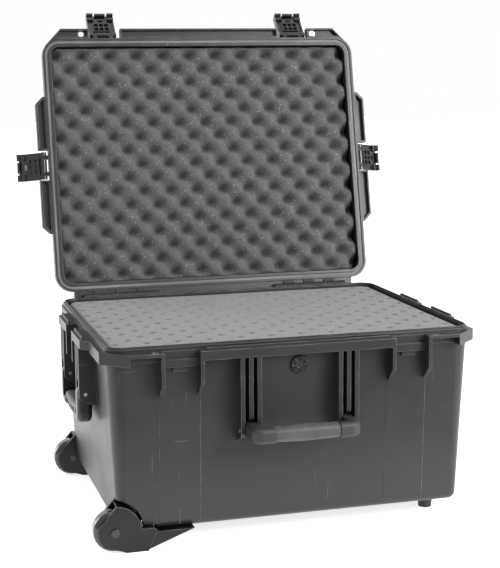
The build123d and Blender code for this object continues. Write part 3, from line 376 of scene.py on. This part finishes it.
def make_scuffs():
    """Sparse fine scratches, mostly along the case and down its walls."""
    along, down = (6.0, 60.0, 300.0), (300.0, 80.0, 9.0)
    tree, given, out = new_group("scuffs", {"Amount": 0.5}, {"Scratch": "NodeSocketFloat"})
    place = object_place(tree)
    marks = 0.0
    for stretch, turn in ((along, 0.3), (down, 1.1)):
        turned = add_node(tree, "ShaderNodeMapping", {
            "Vector": place, "Scale": stretch, "Rotation": (0.0, 0.15 * turn, turn * 0.2),
        })
        streak = add_noise(tree, Vector=turned.outputs[0], Scale=1.0, Detail=4.0)
        marks = calculate(tree, "MAXIMUM", ramp(tree, streak, 0.66, 0.74), marks)
    zones = ramp(tree, add_noise(tree, Vector=place, Scale=14.0, Detail=2.0), 0.52, 0.7)
    scratch = calculate(tree, "MULTIPLY", marks, zones)
    set_inputs(tree, out, {"Scratch": calculate(tree, "MULTIPLY", scratch, given["Amount"])})
    return tree


def make_foam_cells():
    """Open cells of polyurethane foam: pores, pale flecks and a slow unevenness."""
    large_share = 0.62
    outputs = {label: "NodeSocketFloat" for label in ("Height", "Pore", "Fleck", "Uneven")}
    tree, given, out = new_group("foam_cells", {"Scale": 700.0}, outputs)
    place = object_place(tree)
    cells = add_node(tree, "ShaderNodeTexVoronoi", {"Vector": place, "Scale": given["Scale"]})
    large = add_node(tree, "ShaderNodeTexVoronoi", {
        "Vector": place, "Scale": calculate(tree, "MULTIPLY", given["Scale"], large_share),
    })
    tone = add_node(tree, "ShaderNodeSeparateColor", {"Color": large.outputs["Color"]}).outputs
    fleck = calculate(
        tree, "MULTIPLY", ramp(tree, tone[0], 0.8, 1.0),
        ramp(tree, large.outputs["Distance"], 0.15, 0.6, 1.0, 0.0))
    pore = calculate(
        tree, "MULTIPLY", ramp(tree, tone[1], 0.55, 1.0),
        ramp(tree, cells.outputs["Distance"], 0.1, 0.55, 1.0, 0.0))
    slow = add_noise(tree, Vector=place, Scale=210.0, Detail=6.0, Roughness=0.75)
    set_inputs(tree, out, {
        "Height": calculate(tree, "SUBTRACT", cells.outputs["Distance"], pore),
        "Pore": pore, "Fleck": fleck, "Uneven": ramp(tree, slow, 0.3, 0.7),
    })
    return tree


edge_wear_and_painted_light = make_edge_wear_and_painted_light()
moulded_grain = make_moulded_grain()
scuffs = make_scuffs()
foam_cells = make_foam_cells()


def use_group(tree, group, **inputs):
    """Outputs of a shader group placed in a material with its own values."""
    node = tree.nodes.new("ShaderNodeGroup")
    node.node_tree = group
    set_inputs(tree, node, inputs)
    return node.outputs


# ------------------------------------------------------------------------------ materials


def start_material(name, **sockets):
    """Material with its shader's plain sockets set; returns it, its tree and its shader."""
    material = bpy.data.materials.new(name)
    material.use_nodes = True
    tree = material.node_tree
    shader = next(node for node in tree.nodes if node.type == "BSDF_PRINCIPLED")
    for socket, value in sockets.items():
        shader.inputs[socket.replace("_", " ")].default_value = value
    return material, tree, shader


def add_relief(tree, shader, height, distance, strength, normal=None):
    """Bump, over the rounded edges where their normal is given."""
    inputs = {"Height": height, "Distance": distance, "Strength": strength}
    if normal is not None:
        inputs["Normal"] = normal
    bump = add_node(tree, "ShaderNodeBump", inputs)
    tree.links.new(bump.outputs["Normal"], shader.inputs["Normal"])


def moulded_plastic(
    name, colour, rubbed_and_highlight_colour, roughness, grain_scale, grain_depth, wear_and_highlight, edge, **sockets
):
    """Injection-moulded plastic: pebbled skin, outer edges paled partly by wear and partly as painted highlight,
    scuffs, and painted shade in recesses.
    """
    material, tree, shader = start_material(name, **sockets)
    edges = use_group(tree, edge_wear_and_painted_light, Radius=edge * MM)
    grain = use_group(tree, moulded_grain, Scale=grain_scale)
    marks = use_group(tree, scuffs, Amount=wear_and_highlight)
    base = blend_colours(tree, grain["Mottle"], shaded(colour, 0.82), colour)
    # Outer edges paled towards a lighter grey: partly edge wear, partly a painted highlight along the edges.
    base = tint(tree, base, edges["Rubbed And Highlight"], wear_and_highlight, rubbed_and_highlight_colour)
    base = tint(tree, base, marks["Scratch"], 0.5, rubbed_and_highlight_colour)
    # Painted shade: recesses darkened to a deeper grey.
    base = tint(tree, base, edges["Recess Shade"], 0.55, shaded(colour, 0.45))
    finish = ramp(tree, grain["Mottle"], 0.0, 1.0, roughness - 0.04, roughness + 0.05)
    finish = calculate(tree, "ADD", finish, calculate(tree, "MULTIPLY", marks["Scratch"], 0.12))
    set_inputs(tree, shader, {"Base Color": base, "Roughness": finish})
    add_relief(tree, shader, grain["Height"], grain_depth * MM, 0.5, edges["Normal"])
    return material


def soft_rubber(name, colour, pale, roughness):
    """Moulded rubber: fine matt skin, paler on its outer edges, partly from wear and partly as painted highlight.
    """
    edge, grain_scale, grain_depth = 1.5, 1500.0, 0.12
    material, tree, shader = start_material(name, Sheen_Weight=0.12, Sheen_Roughness=0.5)
    edges = use_group(tree, edge_wear_and_painted_light, Radius=edge * MM)
    grain = use_group(tree, moulded_grain, Scale=grain_scale)
    base = blend_colours(tree, grain["Mottle"], colour, pale)
    # Outer edges paled: partly wear, partly painted highlight.
    base = tint(tree, base, edges["Rubbed And Highlight"], 0.4, pale)
    finish = ramp(tree, grain["Mottle"], 0.0, 1.0, roughness + 0.06, roughness - 0.06)
    set_inputs(tree, shader, {"Base Color": base, "Roughness": finish})
    add_relief(tree, shader, grain["Height"], grain_depth * MM, 0.45, edges["Normal"])
    return material


def turned_metal(name, colour, roughness, streaks):
    """Drawn or turned metal with fine streaks along its length and a few dull spots."""
    edge, streak_depth = 0.3, 0.03
    material, tree, shader = start_material(name, Metallic=1.0)
    edges = use_group(tree, edge_wear_and_painted_light, Radius=edge * MM)
    drawn = add_node(tree, "ShaderNodeMapping", {"Vector": object_place(tree), "Scale": streaks})
    lines = add_noise(tree, Vector=drawn.outputs[0], Scale=1.0, Detail=4.0)
    dull = add_noise(tree, Vector=object_place(tree), Scale=90.0, Detail=3.0)
    spots = ramp(tree, dull, 0.5, 0.75)
    finish = ramp(tree, lines, 0.3, 0.7, roughness - 0.05, roughness + 0.07)
    set_inputs(tree, shader, {
        "Base Color": blend_colours(tree, spots, colour, shaded(colour, 0.72)),
        "Roughness": calculate(tree, "ADD", finish, calculate(tree, "MULTIPLY", spots, 0.12)),
    })
    add_relief(tree, shader, lines, streak_depth * MM, 0.4, edges["Normal"])
    return material


def open_cell_foam(name, colour, pale, dark, cell_scale):
    """Grey open-cell foam, darker in its pores, with painted shade in its pits and valleys, and pale flecks."""
    cell_depth = 0.7
    material, tree, shader = start_material(name, Sheen_Weight=0.25, Sheen_Roughness=0.6)
    cells = use_group(tree, foam_cells, Scale=cell_scale)
    base = blend_colours(tree, cells["Uneven"], shaded(colour, 0.66), colour)
    base = tint(tree, base, cells["Pore"], 0.85, dark)
    base = tint(tree, base, cells["Fleck"], 0.5, pale)
    # Painted shade: dents and valleys darkened from the per-point shade of the foam mesh.
    pit_and_shade = add_node(tree, "ShaderNodeAttribute", attribute_name="pit_and_shade").outputs["Fac"]
    base = tint(tree, base, pit_and_shade, 0.75, dark)
    finish = ramp(tree, cells["Uneven"], 0.0, 1.0, 0.98, 0.9)
    set_inputs(tree, shader, {"Base Color": base, "Roughness": finish})
    add_relief(tree, shader, cells["Height"], cell_depth * MM, 0.7)
    return material


def grey(level, warmth=0.0):
    """Grey of a given lightness, a little warmer or cooler."""
    return (level * (1 + warmth), level, level * (1 - warmth), 1.0)


# Grain depths and edge radii in millimetres; a grain scale counts cells along a metre.
# The paler edge colours and shares below stand partly for edge wear and partly for painted highlight along the
# outer edges; every moulded plastic finish also gets painted shade in its recesses.
finishes = {
    "shell": moulded_plastic(
        "case_shell_plastic", grey(0.022, 0.015), grey(0.34, 0.03), roughness=0.36,
        grain_scale=1100.0, grain_depth=0.10, wear_and_highlight=0.9, edge=1.3),
    "latch_plastic": moulded_plastic(
        "latch_gloss_plastic", grey(0.010, 0.03), grey(0.12), roughness=0.12,
        grain_scale=700.0, grain_depth=0.03, wear_and_highlight=0.6, edge=0.6, Coat_Weight=0.6),
    "handle_plastic": moulded_plastic(
        "handle_plastic", grey(0.016, 0.02), grey(0.14), roughness=0.26,
        grain_scale=1100.0, grain_depth=0.06, wear_and_highlight=0.6, edge=1.6),
    "grip_rubber": soft_rubber("grip_rubber", grey(0.045, 0.01), grey(0.085, 0.01), 0.5),
    "housing_plastic": moulded_plastic(
        "housing_plastic", grey(0.008, 0.02), grey(0.30), roughness=0.33,
        grain_scale=1200.0, grain_depth=0.06, wear_and_highlight=0.95, edge=1.5, Specular_IOR_Level=0.35),
    "tyre_rubber": moulded_plastic(
        "tyre_rubber", grey(0.008), grey(0.06), roughness=0.10,
        grain_scale=900.0, grain_depth=0.02, wear_and_highlight=0.6, edge=0.8, Coat_Weight=0.8),
    "foot_rubber": soft_rubber("foot_rubber", grey(0.010), grey(0.03), 0.6),
    "seal_rubber": soft_rubber("seal_rubber", grey(0.16, 0.02), grey(0.24, 0.02), 0.5),
    "steel": turned_metal("pin_steel", grey(0.62), 0.24, (60.0, 60.0, 900.0)),
    "axle_steel": moulded_plastic(
        "axle_black_finish", grey(0.014), grey(0.16), roughness=0.28,
        grain_scale=1500.0, grain_depth=0.02, wear_and_highlight=0.6, edge=0.7, Coat_Weight=0.3),
    "tube_metal": turned_metal("tube_aluminium", grey(0.68), 0.3, (30.0, 1200.0, 1200.0)),
    "base_foam": open_cell_foam(
        "base_foam", grey(0.18, 0.01), grey(0.5), grey(0.012), cell_scale=480.0),
    "lid_foam": open_cell_foam(
        "lid_foam", grey(0.112, 0.01), grey(0.5), grey(0.006), cell_scale=480.0),
}
slot_of = {part["node"]: part["material_slot"] for part in frame["record"]["subparts"]}
for node, piece in frame["nodes"].items():
    piece.data.materials.clear()
    piece.data.materials.append(finishes[slot_of[node]])
front_frame = frame["nodes"]["handle_frame_front"].data
front_frame.materials.clear()
front_frame.materials.append(moulded_plastic(
    "front_handle_plastic", grey(0.042, 0.01), grey(0.18), roughness=0.5,
    grain_scale=1100.0, grain_depth=0.07, wear_and_highlight=0.5, edge=1.6))


# ------------------------------------------------------------------------------ lid foam


def crate_wave(x, y):
    """1 on the staggered peaks of the foam, -1 in the valleys between them."""
    return math.cos(2 * math.pi * x / foam_pitch) * math.cos(2 * math.pi * y / foam_pitch)


def drift(x, y, layer, scale):
    """Slow unevenness between -1 and 1; each layer has its own."""
    return noise.noise(Vector((x, y, layer)) * scale)


def egg_crate(x, y):
    """Broad peaks and narrower valleys, a little uneven, and the painted shade that darkens the valley."""
    wander = 1.5 * MM * drift(x, y, 0.3, 14)
    valley = (1 - crate_wave(x + wander, y - wander)) / 2
    uneven = 0.7 * MM * drift(x, y, 1.7, 30)
    # The second value is painted shade, strongest in the valleys.
    return uneven - crate_depth * valley**1.7, 0.9 * valley**2.5


def make_lid_foam():
    """Egg-crate foam in the lid, its peaks toward the base when the lid is shut."""
    low, high, radius = plan_of("lid_foam", lid_close)
    middle = (low + high) / 2
    face_down = Matrix.Rotation(math.pi, 4, "X")
    place = lid_open @ Matrix.Translation((middle.x, middle.y, high.z)) @ face_down
    mesh = foam_slab(
        "egg_crate_foam", (high.x - low.x) / 2, (high.y - low.y) / 2, radius,
        high.z - low.z - crate_room, egg_crate, crate_step, crate_edge, 0.0, place,
    )
    piece = add_piece(
        "egg_crate_foam", mesh, "lid", finishes["lid_foam"], ["lid_foam"],
    )


# ----------------------------------------------------------------------------- base foam


def pitted(x, y):
    """Flat foam with a small dent, darkened with painted shade, on a staggered grid, clearer near the edges and in
    front.
    """
    shift = 2.5 * MM * drift(x, y, 5.1, 9)
    wave = crate_wave((x + shift) * pit_stretch, y)
    pit_and_shade = min(max((wave - pit_from) / pit_ramp, 0.0), 1.0)
    pit_and_shade = pit_and_shade * pit_and_shade * (3 - 2 * pit_and_shade)
    across = min(abs(x) / pad_half.x, 1.0)
    along = max(-y / pad_half.y, 0.0)
    clear = min(0.35 + 0.8 * across**2 + 0.55 * along, 1.0)
    swell = 0.9 * MM * drift(x, y, 2.9, 6)
    # The second value is painted shade in the dent.
    return swell - pit_depth * pit_and_shade * clear, pit_and_shade * clear


pad_low, pad_high, pad_radius = plan_of("foam_top_pad", Matrix())
pad_half = (pad_high - pad_low) / 2


def make_top_pad():
    """Top pad of the base, dented over its upper face."""
    height = pad_high.z - pad_low.z
    middle = (pad_low + pad_high) / 2
    mesh = foam_slab(
        "top_foam_pad", pad_half.x, pad_half.y, pad_radius, height - pad_room, pitted, pad_step,
        pad_edge, height * math.tan(base_draft),
        Matrix.Translation((middle.x, middle.y, pad_low.z)),
    )
    piece = add_piece(
        "top_foam_pad", mesh, "base", finishes["base_foam"], ["foam_top_pad"],
    )


def new_geometry_tree(name, inputs):
    """Geometry nodes tree with named inputs, its input sockets and its output node."""
    tree = bpy.data.node_groups.new(name, "GeometryNodeTree")
    for label, kind in {"Geometry": "NodeSocketGeometry", **inputs}.items():
        tree.interface.new_socket(label, in_out="INPUT", socket_type=kind)
    tree.interface.new_socket("Geometry", in_out="OUTPUT", socket_type="NodeSocketGeometry")
    return tree, tree.nodes.new("NodeGroupInput").outputs, tree.nodes.new("NodeGroupOutput")


def finish_tree(tree, instances, finish, out):
    """End of a tree: its instances made real, with their finish."""
    real = add_node(tree, "GeometryNodeRealizeInstances", {"Geometry": instances})
    done = add_node(tree, "GeometryNodeSetMaterial", {
        "Geometry": real.outputs["Geometry"], "Material": finish,
    })
    tree.links.new(done.outputs["Geometry"], out.inputs["Geometry"])


def make_cube_tree():
    """Geometry nodes: upright foam cubes on a grid, left out beyond the rounded corners."""
    tree, given, out = new_geometry_tree("scored_cubes", {
        "Half Plan": "NodeSocketVector", "Corner": "NodeSocketFloat", "Columns": "NodeSocketInt",
        "Rows": "NodeSocketInt", "Cube": "NodeSocketVector", "Middle": "NodeSocketVector",
        "Seed": "NodeSocketInt", "Finish": "NodeSocketMaterial",
    })
    half = add_node(tree, "ShaderNodeSeparateXYZ", {0: given["Half Plan"]}).outputs
    grid = add_node(tree, "GeometryNodeMeshGrid", {
        "Size X": calculate(tree, "MULTIPLY", half[0], 2.0),
        "Size Y": calculate(tree, "MULTIPLY", half[1], 2.0),
        "Vertices X": given["Columns"], "Vertices Y": given["Rows"],
    })
    place = tree.nodes.new("GeometryNodeInputPosition").outputs[0]
    around = vector_result(tree, "ABSOLUTE", {0: place})
    corner = {0: given["Corner"], 1: given["Corner"]}
    reach = add_node(tree, "ShaderNodeCombineXYZ", corner).outputs[0]
    inner = vector_result(tree, "SUBTRACT", {0: given["Half Plan"], 1: reach})
    beyond = vector_result(tree, "SUBTRACT", {0: around, 1: inner})
    beyond = vector_result(tree, "MAXIMUM", {0: beyond})
    far = vector_result(tree, "LENGTH", {0: beyond}, "Value")
    kept = add_node(tree, "GeometryNodeDeleteGeometry", {
        "Geometry": grid.outputs["Mesh"],
        "Selection": calculate(tree, "GREATER_THAN", far, given["Corner"]),
    })
    cube = add_node(tree, "GeometryNodeMeshCube", {"Size": given["Cube"]})
    size = add_node(tree, "FunctionNodeRandomValue", {
        "Min": cube_least, "Max": (1.0, 1.0, 1.0), "Seed": given["Seed"],
    }, data_type="FLOAT_VECTOR")
    cubes = add_node(tree, "GeometryNodeInstanceOnPoints", {
        "Points": kept.outputs["Geometry"], "Instance": cube.outputs["Mesh"],
        "Scale": size.outputs[0],
    })
    moved = add_node(tree, "GeometryNodeTransform", {
        "Geometry": cubes.outputs["Instances"], "Translation": given["Middle"],
    })
    finish_tree(tree, moved.outputs["Geometry"], given["Finish"], out)
    return tree


def run_tree(tree, name, inputs):
    """Mesh made by a geometry nodes tree, with its modifier gone."""
    host = add_object(name, bpy.data.meshes.new(name))
    modifier = host.modifiers.new("made", "NODES")
    modifier.node_group = tree
    identifiers = {
        item.name: item.identifier for item in tree.interface.items_tree if item.in_out == "INPUT"
    }
    for label, value in inputs.items():
        modifier[identifiers[label]] = value
    return take_mesh(host)


def make_cube_block(node, seed, tree):
    """Block of scored foam cubes in the space of its slab."""
    low, high, radius = plan_of(node, Matrix())
    height = high.z - low.z
    shrink = height * math.tan(base_draft)
    size = Vector((high.x - low.x - 2 * shrink, high.y - low.y - 2 * shrink, height))
    columns, rows = round(size.x / cube_pitch), round(size.y / cube_pitch)
    across, along = size.x / columns, size.y / rows
    mesh = run_tree(tree, node + "_cubes", {
        "Half Plan": ((size.x - across) / 2, (size.y - along) / 2, 0.0), "Corner": radius,
        "Columns": columns, "Rows": rows, "Cube": (across - cube_gap, along - cube_gap, height),
        "Middle": tuple((low + high) / 2), "Seed": seed, "Finish": finishes["base_foam"],
    })
    piece = add_piece(
        node + "_cubes", mesh, "base", finishes["base_foam"], [node],
    )


def make_bottom_pad():
    """Bottom pad with the soft edges of cut foam."""
    source = frame["nodes"]["foam_bottom_pad"].data.copy()
    work = bmesh.new()
    work.from_mesh(source)
    bmesh.ops.remove_doubles(work, verts=work.verts, dist=weld_gap)
    work.to_mesh(source)
    work.free()
    host = add_object("bottom_pad_block", source)
    voxels = host.modifiers.new("cells", "REMESH")
    voxels.mode = "VOXEL"
    voxels.voxel_size = pad_voxel
    smooth = host.modifiers.new("soften", "SMOOTH")
    smooth.iterations = pad_softening
    mesh = take_mesh(host)
    mesh.shade_smooth()
    mesh.materials.clear()
    piece = add_piece(
        "bottom_foam_pad", mesh, "base", finishes["base_foam"], ["foam_bottom_pad"],
    )


# --------------------------------------------------------------------------- handle grips


def superellipse(angle, half_a, half_b, power):
    """Point of a rounded-square section."""
    c, s = math.cos(angle), math.sin(angle)
    return (
        half_a * math.copysign(abs(c) ** (2 / power), c),
        half_b * math.copysign(abs(s) ** (2 / power), s),
    )


def grip_mesh(name, half_length, half_thick, half_depth, place):
    """Soft grip along X: a full section that swells in the middle and rounds over at its ends."""
    rings, around = grip_rings, grip_around
    points = []
    for r in range(rings + 1):
        t = -math.cos(math.pi * r / rings)
        x = half_length * t
        end = max(abs(t) - grip_end, 0.0) / (1 - grip_end)
        round_over = math.sqrt(max(1 - end * end, 0.0))
        swell = (0.955 + 0.04 * math.cos(math.pi * t)) * (0.95 + 0.05 * round_over)
        for k in range(around):
            turn = 2 * math.pi * k / around
            y, z = superellipse(turn, half_thick, half_depth, grip_squareness)
            points.append((x, y * swell, z * swell))
    faces = []
    for row in range(0, rings * around, around):
        for k in range(around):
            after = (k + 1) % around
            faces.append((row + k, row + after, row + around + after, row + around + k))
    faces.append(tuple(range(around)))
    faces.append(tuple(rings * around + k for k in range(around)))
    return make_mesh(name, points, faces, place)


def make_rib_tree():
    """Geometry nodes: half-round ribs over the outer side of a grip, evenly along it."""
    tree, given, out = new_geometry_tree("grip_ribs", {
        "Count": "NodeSocketInt", "Pitch": "NodeSocketFloat", "Half Thick": "NodeSocketFloat",
        "Half Width": "NodeSocketFloat", "Rib Radius": "NodeSocketFloat",
        "Finish": "NodeSocketMaterial",
    })

    def corner(z_sign, y_share):
        return add_node(tree, "ShaderNodeCombineXYZ", {
            1: calculate(tree, "MULTIPLY", given["Half Thick"], y_share),
            2: calculate(tree, "MULTIPLY", given["Half Width"], z_sign),
        }).outputs[0]

    arc = add_node(tree, "GeometryNodeCurveArc", {
        "Resolution": rib_steps, "Start": corner(-1.0, -rib_curl), "Middle": corner(0.0, -1.0),
        "End": corner(1.0, -rib_curl),
    }, mode="POINTS")
    ring = add_node(tree, "GeometryNodeCurvePrimitiveCircle", {
        "Resolution": rib_sides, "Radius": given["Rib Radius"],
    })
    rib = add_node(tree, "GeometryNodeCurveToMesh", {
        "Curve": arc.outputs["Curve"], "Profile Curve": ring.outputs["Curve"], "Fill Caps": True,
    })
    gaps = calculate(tree, "SUBTRACT", given["Count"], 1.0)
    span = calculate(tree, "MULTIPLY", gaps, given["Pitch"])
    start = {0: calculate(tree, "MULTIPLY", span, -0.5)}
    line = add_node(tree, "GeometryNodeMeshLine", {
        "Count": given["Count"],
        "Start Location": add_node(tree, "ShaderNodeCombineXYZ", start).outputs[0],
        "Offset": add_node(tree, "ShaderNodeCombineXYZ", {0: given["Pitch"]}).outputs[0],
    })
    ribs = add_node(tree, "GeometryNodeInstanceOnPoints", {
        "Points": line.outputs["Mesh"], "Instance": rib.outputs["Mesh"],
    })
    finish_tree(tree, ribs.outputs["Instances"], given["Finish"], out)
    return tree


def make_grips():
    """Soft grips of the three bail handles; along and up are the handle's own X and Z."""
    tree = make_rib_tree()
    for name, along, up in (
        ("front", Vector((1, 0, 0)), Vector((0, 1, 0))),
        ("left", Vector((0, -1, 0)), Vector((0, 0, 1))),
        ("right", Vector((0, 1, 0)), Vector((0, 0, 1))),
    ):
        low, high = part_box(f"handle_grip_{name}")
        inward = up.cross(along)
        place = Matrix((along, inward, up)).transposed().to_4x4()
        place.translation = (low + high) / 2
        size = [abs((high - low).dot(axis)) for axis in (along, inward, up)]
        mesh = grip_mesh(
            f"grip_{name}", size[0] / 2 + grip_overhang, size[1] / 2, size[2] / 2, place,
        )
        piece = add_piece(
            f"grip_{name}", mesh, f"handle_{name}", finishes["grip_rubber"],
            [f"handle_grip_{name}"],
        )
        ribs = run_tree(tree, f"grip_ribs_{name}", {
            "Count": rib_count, "Pitch": rib_pitch, "Half Thick": size[1] / 2 - rib_sink,
            "Half Width": size[2] / 2 - rib_short, "Rib Radius": rib_radius,
            "Finish": finishes["grip_rubber"],
        })
        ribs.transform(place)
        ribs.shade_smooth()
        add_piece(
            f"grip_ribs_{name}", ribs, f"handle_{name}",
            finishes["grip_rubber"],
        )


make_lid_foam()
make_top_pad()
cube_tree = make_cube_tree()
for block, block_seed in cube_seeds.items():
    make_cube_block(block, block_seed, cube_tree)
make_bottom_pad()
make_grips()


# ----------------------------------------------------------------------- camera and studio


def make_camera():
    """Long lens, low and to the left of the front."""
    azimuth, elevation, roll = (math.radians(angle) for angle in camera_turn)
    level = math.cos(elevation)
    back = Vector((math.sin(azimuth) * level, -math.cos(azimuth) * level, math.sin(elevation)))
    right = Vector((math.cos(azimuth), math.sin(azimuth), 0.0))
    aim = Matrix((right, back.cross(right), back)).transposed().to_4x4()
    data = bpy.data.cameras.new("camera")
    data.lens = camera_lens
    data.sensor_width = camera_sensor
    data.clip_end = camera_sight
    camera = add_object("camera", data)
    camera.matrix_world = Matrix.Translation(camera_place) @ aim @ Matrix.Rotation(roll, 4, "Z")
    bpy.context.scene.camera = camera


def make_floor():
    """White sheet under and behind the case, on a darker studio floor."""
    low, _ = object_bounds()
    edge = low.y - white_in_front
    for name, front, back, colour, glow in (
        ("floor", edge, floor_reach, white_floor, white_glow),
        ("front_floor", -floor_reach, edge, front_grey, 0.0),
    ):
        corners = (
            (-floor_reach, front), (floor_reach, front), (floor_reach, back), (-floor_reach, back),
        )
        mesh = make_mesh(name, [(x, y, low.z) for x, y in corners], [(0, 1, 2, 3)])
        floor = add_object(name, mesh)
        material, _, _ = start_material(
            f"{name}_paint", Base_Color=colour, Roughness=0.9, Specular_IOR_Level=0.0,
            Emission_Color=white, Emission_Strength=glow)
        mesh.materials.append(material)


def add_softbox(name, place, target, size, power):
    """Rectangular soft light that faces its target."""
    data = bpy.data.lights.new(name, "AREA")
    data.shape = "RECTANGLE"
    data.size, data.size_y = size
    data.energy = power
    aim = (Vector(place) - Vector(target)).to_track_quat("Z", "Y")
    light = add_object(name, data)
    light.matrix_world = Matrix.Translation(place) @ aim.to_matrix().to_4x4()


def light_studio():
    """White room, dimmer toward the front left, and its soft lights."""
    world = bpy.data.worlds.new("studio")
    world.use_nodes = True
    tree = world.node_tree
    direction = tree.nodes.new("ShaderNodeTexCoord").outputs["Generated"]
    toward = vector_result(tree, "DOT_PRODUCT", {0: direction, 1: dim_side}, "Value")
    glow = ramp(tree, toward, dim_from, dim_to, 1.0, dim_light)
    set_inputs(tree, tree.nodes["Background"], {"Color": white, "Strength": glow})
    bpy.context.scene.world = world
    bpy.context.scene.view_settings.view_transform = "Standard"
    for softbox in softboxes:
        add_softbox(*softbox)


make_camera()
make_floor()
light_studio()
